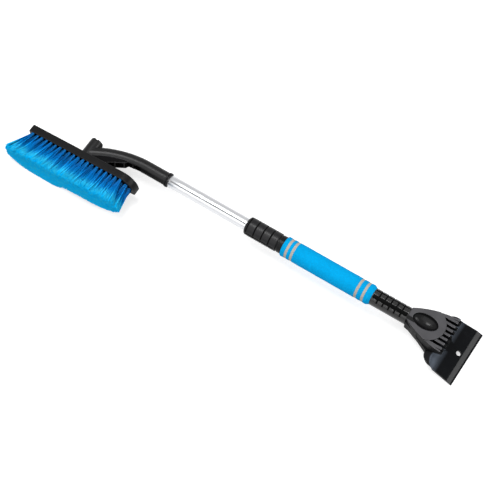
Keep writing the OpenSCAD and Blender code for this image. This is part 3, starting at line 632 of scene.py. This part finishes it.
def rounded_step(distance, half, soft):
    """1 inside a half width, 0 outside, with an S-shaped edge."""
    s = np.clip((half + soft / 2 - np.abs(distance)) / soft, 0, 1)
    return s * s * (3 - 2 * s)


def angle_from(angle, middle):
    """Signed angle from a middle line, between half a turn each way."""
    return (angle - middle + np.pi) % (2 * np.pi) - np.pi


def grooved_tube(name):
    """A drawn tube: outer wall with a soft-edged groove, back along the bore, closed at both ends."""
    angle = np.sort(np.concatenate((
        np.linspace(0, 2 * np.pi, TUBE_COLUMNS, endpoint=False),
        GROOVE_ANGLE + np.linspace(-GROOVE_FAN, GROOVE_FAN, GROOVE_COLUMNS))))
    groove = rounded_step(angle_from(angle, GROOVE_ANGLE) * TUBE_R, GROOVE_HALF, GROOVE_SOFT)
    outer = TUBE_R - GROOVE_DEPTH * groove
    front, back = (tube_low[0] - grip_front) / MM, (tube_high[0] - grip_front) / MM
    lines = [around_pole(front, outer - TUBE_CHAMFER, angle)]
    for x in np.linspace(front + TUBE_CHAMFER, back - TUBE_CHAMFER, TUBE_LINES):
        lines.append(around_pole(x, outer, angle))
    lines.append(around_pole(back, outer - TUBE_CHAMFER, angle))
    lines += [around_pole(x, TUBE_BORE, angle) for x in (back, front)]
    mesh = mesh_of(name, np.concatenate(lines), ring_faces(len(lines), len(angle)))
    mark(mesh, "groove", "POINT", np.tile(groove, len(lines)))
    return link(name, mesh)


def drawn_metal(name, colour, roughness):
    """Drawn aluminium: fine lines along the pole in roughness and bump, a faint cloudiness, and the floor
    of a groove painted darker and not metallic, as painted shade."""
    material, tree = new_material(name)
    where = object_place(tree)
    stretched = node(tree, "Mapping", {"Vector": where, "Scale": DRAWN_SCALE}).outputs[0]
    lines = noise(tree, stretched, 1.0, detail=3.0)
    cloud = noise(tree, where, 60.0, detail=4.0)
    streak = total(tree, product(tree, cloud, 0.5), product(tree, lines, 0.5))
    in_groove = attribute(tree, "groove")
    shade = colour_mix(tree, streak, darker(colour, 0.93), (*colour, 1))
    principled(tree, {
        # Painted shade: the groove floor is darker and not metallic.
        "Base Color": colour_mix(tree, in_groove, shade, darker(colour, 0.42)),
        "Roughness": spread(tree, lines, 0.3, 0.7, roughness - 0.02, roughness + 0.03),
        "Metallic": spread(tree, in_groove, 0, 1, 1.0, 0.0),
        "Normal": bump(tree, lines, 0.02, 0.02), "Specular IOR Level": 0.1})
    return material


bright_metal = drawn_metal("bright_aluminium", colour=(0.68, 0.69, 0.71), roughness=0.3)
fit(grooved_tube("inner_tube_bright"), bright_metal, "inner_tube")
paint_nodes(black_plastic, "tail_bush")
paint_nodes(drawn_metal("outer_aluminium", colour=(0.7, 0.71, 0.72), roughness=0.34), "outer_tube")

# Twist lock: a ringed nut of black plastic squeezes a split pale collet on the inner tube.
# The nut turns on the sleeve of a base ring that is pressed on the outer tube.
NUT_FRONT, NUT_BACK, NUT_R = -68.8, -10.3, 15.2
NUT_ROUND, NUT_BACK_ROUND = 4.5, 1.0
NUT_LINES, NUT_COLUMNS = 236, 192
RINGS, RING_W, RING_DEPTH, RING_SOFT = 4, 1.8, 0.8, 0.7
RING_PITCH = (NUT_BACK - NUT_FRONT) / (RINGS + 0.3)
RING_START = NUT_FRONT + 0.37 * RING_PITCH
NUT_STRIPS = np.radians((82, 262))
STRIP_HALF, STRIP_SOFT = np.radians(8), 0.06
SLOT_HALF, SLOT_SOFT = 1.2, 0.8
SLOT_MIDDLE, SLOT_REACH, SLOT_END = 31, 25, 1.0
NUT_INSIDE = ((NUT_BACK, 13.46), (-46.0, 13.46), (-66.15, 11.35), (-66.15, 10.45), (NUT_FRONT, 10.45))
BASE_EDGE = 0.45


def round_end(x, end, corner):
    """How far a round corner of that radius at an end draws the surface in."""
    return corner - np.sqrt(np.maximum(0, corner ** 2 - np.clip(corner - np.abs(x - end), 0, corner) ** 2))


def grooved_shell(name, x, columns, form, depth, inside):
    """A round moulding whose outer wall is a radius over places along the pole and angles round it, less
    the depth of its grooves, as its form gives them. It closes along the points of its inside. The
    attribute named groove is 1 on the grooves' floors, and the one named edge half way up their walls."""
    angle = np.linspace(0, 2 * np.pi, columns, endpoint=False)
    radius, groove = form(*np.meshgrid(x, angle, indexing="ij"))
    inner = np.array(inside)
    outside = around_pole(x[:, None], radius - depth * groove, angle[None])
    points = np.concatenate((outside, around_pole(inner[:, :1], inner[:, 1:], angle[None]))).reshape(-1, 3)
    mesh = mesh_of(name, points, ring_faces(len(x) + len(inner), columns))
    floor_share = np.concatenate((groove.ravel(), np.zeros(len(inner) * columns)))
    mark(mesh, "groove", "POINT", floor_share)
    mark(mesh, "edge", "POINT", 4 * floor_share * (1 - floor_share))
    return link(name, mesh)


def nut_form(x, angle):
    """The nut's radius, drawn in at its round ends, and the share of its grooves: rings at an even pitch
    that stop short of two plain strips, and a slot along the middle of each strip."""
    radius = NUT_R - round_end(x, NUT_FRONT, NUT_ROUND) - round_end(x, NUT_BACK, NUT_BACK_ROUND)
    off_strip = np.minimum(*(np.abs(angle_from(angle, middle)) for middle in NUT_STRIPS))
    rings = sum(rounded_step(x - RING_START - k * RING_PITCH, RING_W / 2, RING_SOFT) for k in range(RINGS))
    rings = rings * (1 - rounded_step(off_strip, STRIP_HALF, STRIP_SOFT))
    slots = rounded_step(off_strip * NUT_R, SLOT_HALF, SLOT_SOFT)
    slots = slots * rounded_step(x - NUT_FRONT - SLOT_MIDDLE, SLOT_REACH, SLOT_END)
    return radius, np.maximum(rings, slots)


def grooved_plastic(name, colour, edge_colour, roughness, sheen, groove_shade_colour):
    """Moulded plastic with dull groove floors painted dark as shade, and glossy lands whose skin has a sheen.
    """
    material, tree, shader, paint, rough = plastic(name, colour, edge_colour, roughness, gloss=0.03, amount=0.35)
    in_groove = attribute(tree, "groove")
    clear_skin(tree, shader, spread(tree, in_groove, 0.0, 0.5, sheen, 0.0), roughness)
    # Painted shade: the groove floors are darkened.
    feed(tree, shader.inputs["Base Color"], colour_mix(tree, in_groove, paint, (*groove_shade_colour, 1)))
    feed(tree, shader.inputs["Roughness"], total(tree, rough, product(tree, in_groove, 0.25)))
    return material


nut_x = np.linspace(NUT_FRONT, NUT_BACK, NUT_LINES)
nut = grooved_shell("lock_nut_shell", nut_x, NUT_COLUMNS, nut_form, RING_DEPTH, NUT_INSIDE)
# Painted shade darkens the floors of the nut's rings and slots.
nut_plastic = grooved_plastic(
    "nut_plastic", colour=(0.012, 0.012, 0.013), edge_colour=(0.05, 0.05, 0.053), roughness=0.36, sheen=0.34,
    groove_shade_colour=(0.002, 0.002, 0.002))
fit(nut, nut_plastic, "lock_nut")
fit(moulded("lock_base", BASE_EDGE), black_plastic, "lock_base")
pale_plastic = plastic(
    "pale_acetal", colour=(0.62, 0.62, 0.6), edge_colour=(0.72, 0.72, 0.7), roughness=0.4, gloss=0.4)[0]
paint_nodes(pale_plastic, "lock_collet")

# Foam grip: a bright blue sleeve of closed-cell EVA foam, slid on the outer tube, with a chamfered rear
# end and four shallow grooves. A beige foam ring is glued in each groove.
GRIP_LEN, GRIP_R, GRIP_BORE = 160.0, 16.5, 12.0
GRIP_ROUND, CHAMFER_LEN, CHAMFER_SLOPE = 1.3, 5, 0.52
GRIP_LINES, ROUND_COLUMNS = 420, 144
RIPPLES = ((0.05, 0.21, 0.0), (0.04, 0.57, 1.3))
BAND_PLACES = (0.059, 0.12, 0.847, 0.922)
BAND_W, BAND_T, BAND_ROUND, ROUND_STEPS = 4.4, 0.6, 0.3, 5
BAND_GROOVE, BAND_SOFT, BAND_SUNK = 1.0, 0.8, 0.1


def turned_piece(name, section):
    """A section of [x, radius] points carried round the pole's axis; the section closes on itself."""
    angle = np.linspace(0, 2 * np.pi, ROUND_COLUMNS, endpoint=False)
    points = around_pole(section[:, :1], section[:, 1:], angle[None]).reshape(-1, 3)
    return link(name, mesh_of(name, points, ring_faces(len(section), ROUND_COLUMNS)))


def foam_section():
    """Outside of the sleeve with softened grooves, slight ripples, a rounded front and a chamfered rear,
    then its bore."""
    x = np.linspace(0, GRIP_LEN, GRIP_LINES)
    front = GRIP_ROUND * (1 - np.sqrt(1 - np.clip(1 - x / GRIP_ROUND, 0, 1) ** 2))
    rear = np.clip(x - (GRIP_LEN - CHAMFER_LEN), 0, CHAMFER_LEN) * CHAMFER_SLOPE
    grooves = sum(rounded_step(x - share * GRIP_LEN, BAND_W / 2, BAND_SOFT) for share in BAND_PLACES)
    ripple = sum(height * np.sin(x * pace + start) for height, pace, start in RIPPLES)
    outside = np.stack((x, GRIP_R - front - rear - BAND_GROOVE * grooves + ripple * (1 - grooves)), 1)
    return np.concatenate((outside, [[GRIP_LEN, GRIP_BORE], [0, GRIP_BORE]]))


def band_section(middle):
    """A flat ring with two quarter-round corners, sunk slightly into the floor of its groove."""
    half, top_r, floor_r = BAND_W / 2, GRIP_R - BAND_GROOVE + BAND_T, GRIP_R - BAND_GROOVE - BAND_SUNK
    turn = np.linspace(0, np.pi / 2, ROUND_STEPS)
    corner = BAND_ROUND * np.stack((1 - np.sin(turn), 1 - np.cos(turn)), 1)
    left = ((middle - half, top_r) + corner * (1, -1))[::-1]
    right = (middle + half, top_r) - corner
    return np.concatenate(([[middle - half, floor_r]], left, right, [[middle + half, floor_r]]))


def foam_finish(name, colour, deep, cell):
    """Closed-cell foam: a fine pitted skin as bump, paler and deeper flecks, and a soft sheen."""
    material, tree = new_material(name)
    where = object_place(tree)
    cells = node(tree, "TexVoronoi", {"Vector": where, "Scale": cell}).outputs["Distance"]
    fleck = noise(tree, where, cell * 0.35, detail=4.0, roughness=0.65)
    cloud = noise(tree, where, 28.0, detail=3.0)
    share = total(tree, spread(tree, fleck, 0.38, 0.62, 0.0, 0.65), spread(tree, cloud, 0.3, 0.7, 0.0, 0.35))
    principled(tree, {
        "Base Color": colour_mix(tree, share, (*deep, 1), (*colour, 1)),
        "Roughness": spread(tree, fleck, 0.3, 0.7, 0.78, 0.92), "Specular IOR Level": 0.06,
        "Normal": bump(tree, total(tree, cells, fleck), 0.6, 0.22)})
    return material


foam = turned_piece("foam_sleeve", foam_section())
fit(foam, foam_finish("blue_foam", (0.0, 0.39, 0.8), (0.0, 0.31, 0.65), 1300.0), "foam_grip")
band_foam = foam_finish("beige_foam", (0.5, 0.45, 0.4), (0.42, 0.38, 0.33), 1500.0)
for number, share in enumerate(BAND_PLACES, 1):
    band = turned_piece(f"grip_ring_{number}", band_section(share * GRIP_LEN))
    fit(band, band_foam, f"grip_band_{number}")

# Rear handle: a black moulding over the outer tube, with rows of raised glossy pads and channels whose floors
# are painted dark as shade.
# A self-tapping screw from below holds it to the tube and to the scraper's stem.
HANDLE_FRONT, HANDLE_BACK, HANDLE_R = 160.0, 223.0, 14.0
HANDLE_FRONT_ROUND, HANDLE_BACK_ROUND = 0.6, 0.5
HANDLE_LINES, HANDLE_COLUMNS = 253, 216
PADS, PAD_GAP, PAD_HEIGHT, PAD_SOFT, PAD_MARGIN = 6, 2.2, 0.9, 1.0, 1
PADS_FROM, PADS_TO = np.radians((-92, 60))
PADS_SOFT = 0.1
HANDLE_CHANNELS = ((-92, 6.4), (-28, 3.2), (22, 6.4))
CHANNEL_MIDDLE, CHANNEL_REACH = 31.8, 30
SCREW_X, SEAT_R, SEAT_SOFT, SEAT_DEPTH = 201.0, 3.5, 0.5, 1.35
HANDLE_INSIDE = ((HANDLE_BACK, 10.8), (212.0, 10.8), (212.0, 12.0), (HANDLE_FRONT, 12.0))


def handle_form(x, angle):
    """The handle's radius, slightly rounded at its ends, and the share of its grooves: gaps across the
    padded side at an even pitch, channels along it, and a round seat for the screw below."""
    radius = HANDLE_R - round_end(x, HANDLE_FRONT, HANDLE_FRONT_ROUND)
    radius = radius - round_end(x, HANDLE_BACK, HANDLE_BACK_ROUND)
    pitch = (HANDLE_BACK - HANDLE_FRONT - 2 * PAD_MARGIN) / PADS
    first = HANDLE_FRONT + PAD_MARGIN
    grooves = sum(rounded_step(x - first - k * pitch, PAD_GAP / 2, PAD_SOFT) for k in range(1, PADS))
    middle, half = (PADS_FROM + PADS_TO) / 2, (PADS_TO - PADS_FROM) / 2
    grooves = grooves * rounded_step(angle_from(angle, middle), half, PADS_SOFT)
    long = rounded_step(x - HANDLE_FRONT - CHANNEL_MIDDLE, CHANNEL_REACH, PAD_SOFT)
    for degrees, width in HANDLE_CHANNELS:
        off_channel = angle_from(angle, np.radians(degrees)) * HANDLE_R
        grooves = np.maximum(grooves, rounded_step(off_channel, width / 2, PAD_SOFT) * long)
    off_screw = np.hypot(x - SCREW_X, angle_from(angle, np.pi) * HANDLE_R)
    return radius, np.maximum(grooves, SEAT_DEPTH * rounded_step(off_screw, SEAT_R, SEAT_SOFT))


handle_x = np.linspace(HANDLE_FRONT, HANDLE_BACK, HANDLE_LINES)
handle = grooved_shell("rear_handle_shell", handle_x, HANDLE_COLUMNS, handle_form, PAD_HEIGHT, HANDLE_INSIDE)
handle_plastic = grooved_plastic(
    "handle_plastic", colour=(0.016, 0.0155, 0.0155), edge_colour=(0.06, 0.06, 0.062), roughness=0.22, sheen=0.7,
    groove_shade_colour=(0.001, 0.001, 0.001))
fit(handle, handle_plastic, "rear_handle")
paint_nodes(steel, "handle_screw")

# Scraper head: a charcoal moulding with seven ice teeth, scooped shoulders and a deep thumb recess.
# The thumb recess is glossy from the mould; it, the run-in channel, the upright walls and the flanks below
# the plate are painted dark as shade, a blue-grey reflection is painted into the scooped shoulders, and the
# rest keeps the tool's matt grain.
HEAD_EDGE, HEAD_SHARP = 0.5, 30
THUMB_X, THUMB_LONG, THUMB_WIDE = 251.0, 21.0, 12.8
SCOOP_X, SCOOP_Y, SCOOP_R = 303.0, 30.0, 22.0
OVAL_SOFT = 0.03
SCOOP_HEIGHT, SCOOP_FADE = (-11, -9), (289, 300)
RUN_IN_LEFT, RUN_IN_RIGHT, RUN_IN_END = (-4.4, -3.6), (-10.2, -11), (236, 239)
FLANK_HEIGHT, SHOULDER_START = (8, 11), (292, 286)
# The flank colour is painted shade below the plate, and the scoop colour is a painted blue-grey reflection in
# the scoops.
FLANK_SHADE_COLOUR, SCOOP_GLINT_COLOUR = (0.014, 0.014, 0.015, 1), (0.085, 0.1, 0.125, 1)
# The dark colour is painted shade on upright walls, in the thumb recess and in the run-in channel.
PAINTED_SHADE_COLOUR, SHOULDER_COLOUR = (0.003, 0.003, 0.0035, 1), (0.004, 0.0045, 0.0055, 1)
RECESS_SHEEN, RECESS_ROUGHNESS = 0.3, 0.24


def oval_mask(tree, x, y, half_long, half_wide):
    """1 inside an oval seen from above, on both sides of the pole's line, with a soft rim."""
    where = node(tree, "SeparateXYZ", {0: object_place(tree)}).outputs
    aside = node(tree, "Math", {0: total(tree, where["Y"], -pole_y)}, operation="ABSOLUTE").outputs[0]
    reach_x = product(tree, total(tree, where["X"], -grip_front - x * MM), 1 / (half_long * MM))
    reach_y = product(tree, total(tree, aside, -y * MM), 1 / (half_wide * MM))
    reach = node(tree, "CombineXYZ", {"X": reach_x, "Y": reach_y}).outputs[0]
    length = node(tree, "VectorMath", {0: reach}, operation="LENGTH").outputs["Value"]
    return spread(tree, length, 1 - OVAL_SOFT, 1 + OVAL_SOFT, 1.0, 0.0)


def painted_scoop_glint(tree):
    """Where a blue-grey reflection is painted into the scoops, fading out towards the blade."""
    inside = oval_mask(tree, SCOOP_X, SCOOP_Y, SCOOP_R, SCOOP_R)
    low = along_mask(tree, "Z", *SCOOP_HEIGHT)
    return product(tree, product(tree, inside, low), along_mask(tree, "X", *SCOOP_FADE))


# The pale edge colour and its large amount paint a highlight along the teeth's and the plate's edges, on top
# of scuffing.
grey_plastic, tree, shader, paint, _ = plastic(
    "charcoal_plastic", colour=(0.078, 0.077, 0.082), edge_colour=(0.19, 0.19, 0.2), roughness=0.46, gloss=0.06,
    amount=0.7)
recess = oval_mask(tree, THUMB_X, 0, THUMB_LONG, THUMB_WIDE)
channel = product(tree, along_mask(tree, "Y", *RUN_IN_LEFT), along_mask(tree, "Y", *RUN_IN_RIGHT))
run_in = product(tree, channel, along_mask(tree, "X", *RUN_IN_END))
# The recess and run-in mask carries both the glossy skin and painted shade.
polished_and_shaded = larger(tree, recess, run_in)
upright = spread(tree, attribute(tree, "level"), 0.8, 0.97, 1.0, 0.0)
below = along_mask(tree, "Z", *FLANK_HEIGHT)
shoulder = product(tree, below, along_mask(tree, "X", *SHOULDER_START))
# Painted shade: the flanks below the plate, then the upright walls, the recess and the run-in channel are
# darkened.
shade = colour_mix(tree, below, paint, FLANK_SHADE_COLOUR)
shade = colour_mix(tree, larger(tree, polished_and_shaded, upright), shade, PAINTED_SHADE_COLOUR)
shade = colour_mix(tree, shoulder, shade, SHOULDER_COLOUR)
# A blue-grey reflection is painted into the scoops.
feed(tree, shader.inputs["Base Color"], colour_mix(tree, painted_scoop_glint(tree), shade, SCOOP_GLINT_COLOUR))
clear_skin(tree, shader, product(tree, polished_and_shaded, RECESS_SHEEN), RECESS_ROUGHNESS)
fit(moulded("scraper_head", HEAD_EDGE, HEAD_SHARP), grey_plastic, "scraper_head")

# Blade: a glossy black polycarbonate plate with a bevelled edge and a hang hole.
# It laps into the head from below, held by two screws.
BLADE_EDGE = 0.25
gloss_black, tree, shader, paint, _ = plastic(
    "gloss_black", colour=(0.003, 0.0035, 0.0045), edge_colour=(0.03, 0.03, 0.034), roughness=0.1, gloss=0.09,
    grain=0.003, amount=0.4)
# The scoops' painted reflection carries on over the blade's root.
feed(tree, shader.inputs["Base Color"], colour_mix(tree, painted_scoop_glint(tree), paint, SCOOP_GLINT_COLOUR))
fit(moulded("scraper_blade", BLADE_EDGE), gloss_black, "scraper_blade")
paint_nodes(steel, "blade_screws")
